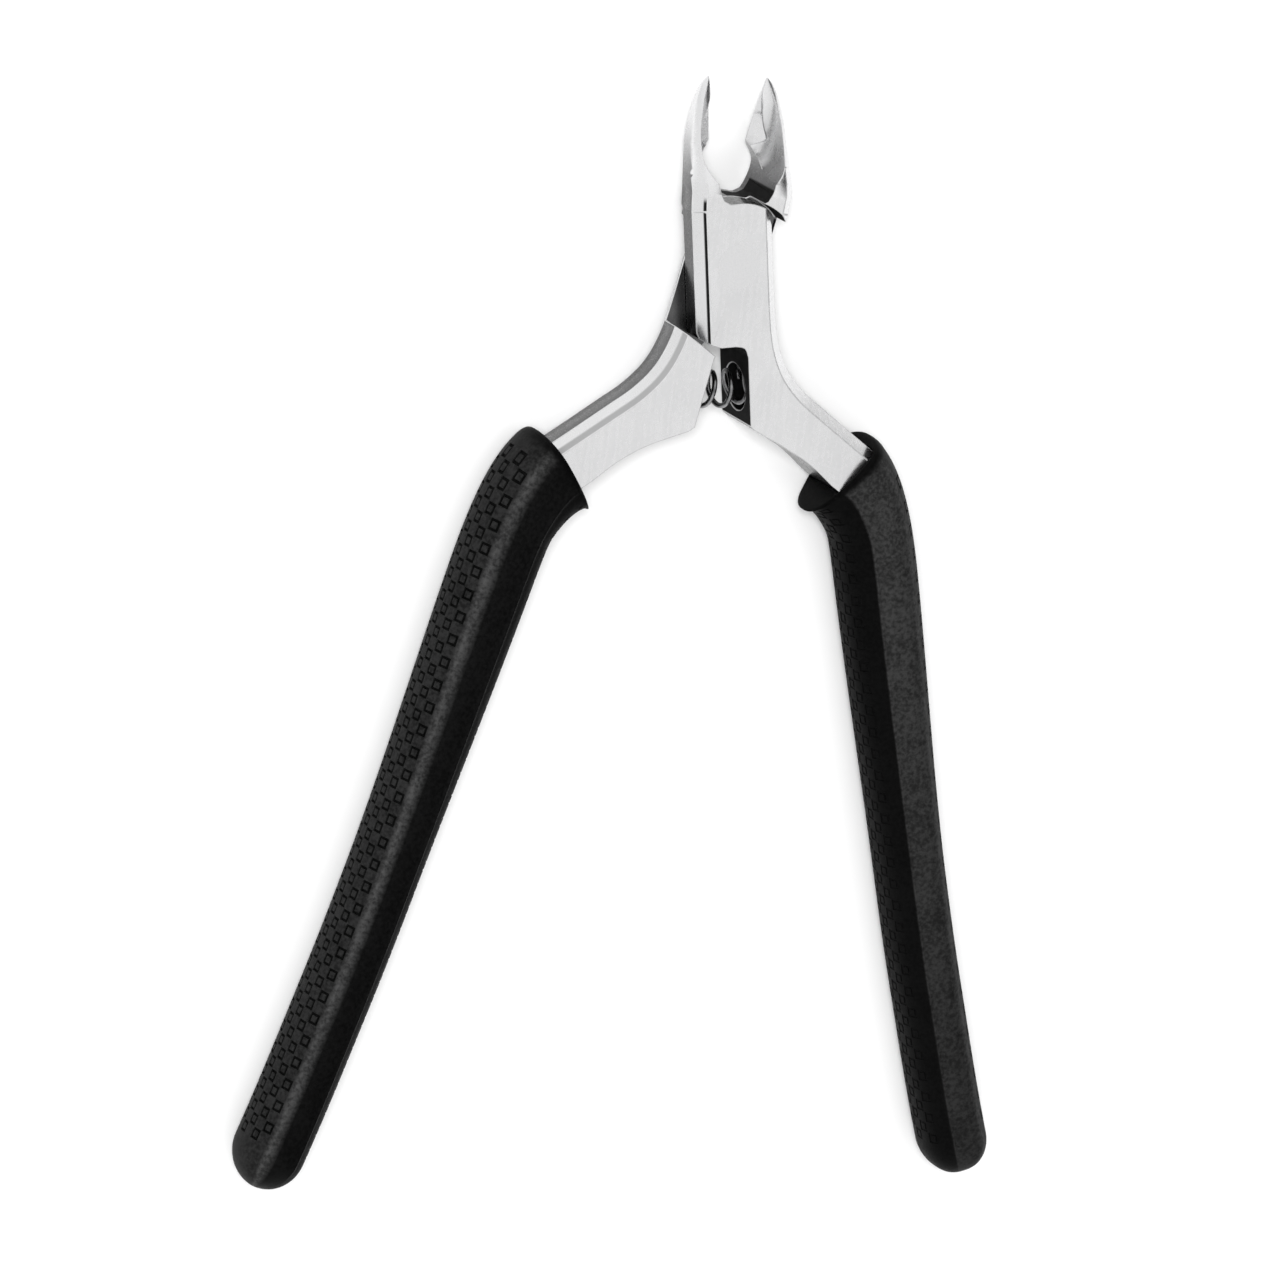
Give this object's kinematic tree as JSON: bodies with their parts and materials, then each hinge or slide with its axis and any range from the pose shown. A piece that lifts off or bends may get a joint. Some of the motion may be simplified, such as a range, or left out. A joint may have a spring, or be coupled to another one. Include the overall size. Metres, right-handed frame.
{
  "type": "cuticle nipper",
  "caption": "Hand nipper with two steel levers crossing in a flush lap joint, a coil spring between them, hollow-ground pointed jaws and soft sleeves on the handles.",
  "frame": {"origin": "on the joint's axis, in the plane of the levers' back faces", "axes": "+Y from the joint towards the jaws along the line that halves the angle between the handles, +Z out of the front faces along the joint's axis, +X towards the right handle"},
  "size_m": [0.0866, 0.1186, 0.0098],
  "materials": {
    "steel": "satin ground and lightly brushed",
    "rivet_steel": "ground flush with the levers",
    "spring_steel": "dark drawn wire, polished",
    "soft_grip": "soft black, satin, with small raised squares"
  },
  "bodies": {
    "front": {"front_lever": "steel", "right_grip": "soft_grip", "pivot_rivet": "rivet_steel", "spring": "spring_steel"},
    "rear": {"rear_lever": "steel", "left_grip": "soft_grip"}
  },
  "joints": [
    {"name": "squeeze", "type": "hinge", "parent": "front", "child": "rear", "pos_m": [0, 0, 0.0036], "axis": [0, 0, 1], "range_deg": [0, 19.4], "stiffness_Nm_per_rad": 0.27, "springref_deg": -5.73, "deforming": ["spring"]}
  ]
}
